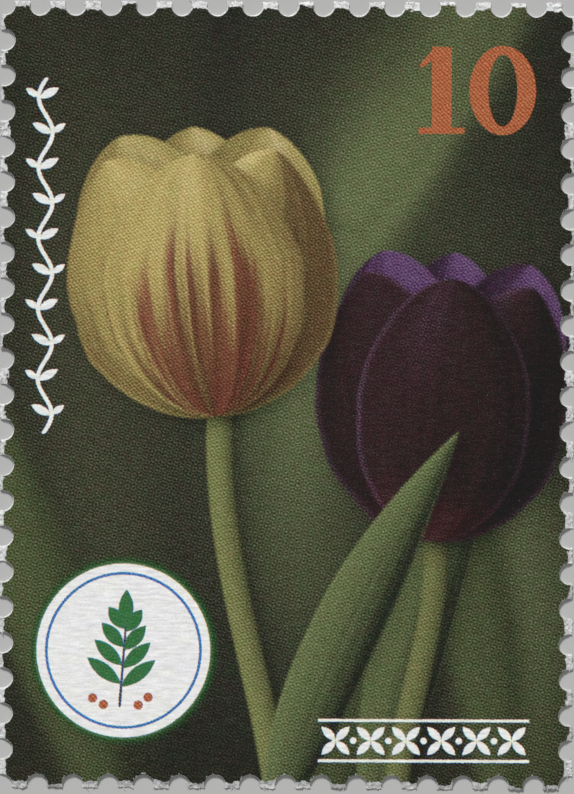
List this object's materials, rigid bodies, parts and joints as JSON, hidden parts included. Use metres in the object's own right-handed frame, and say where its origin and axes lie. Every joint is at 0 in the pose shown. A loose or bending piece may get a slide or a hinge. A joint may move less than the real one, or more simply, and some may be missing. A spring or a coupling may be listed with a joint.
{
  "type": "postage stamp",
  "caption": "Upright postage stamp with perforated edges, torn teeth, a full-bleed flower print on its face and a gummed back.",
  "frame": {"origin": "centre of the gummed back, on the plane that the stamp lies on", "axes": "+Z out of the printed face, +Y towards the picture's top, +X towards the picture's right"},
  "size_m": [0.0244, 0.0336, 0.0001],
  "materials": {
    "paper": "satin",
    "gum": "satin"
  },
  "bodies": {
    "root": {"gum": "gum", "paper": "paper"}
  },
  "joints": []
}
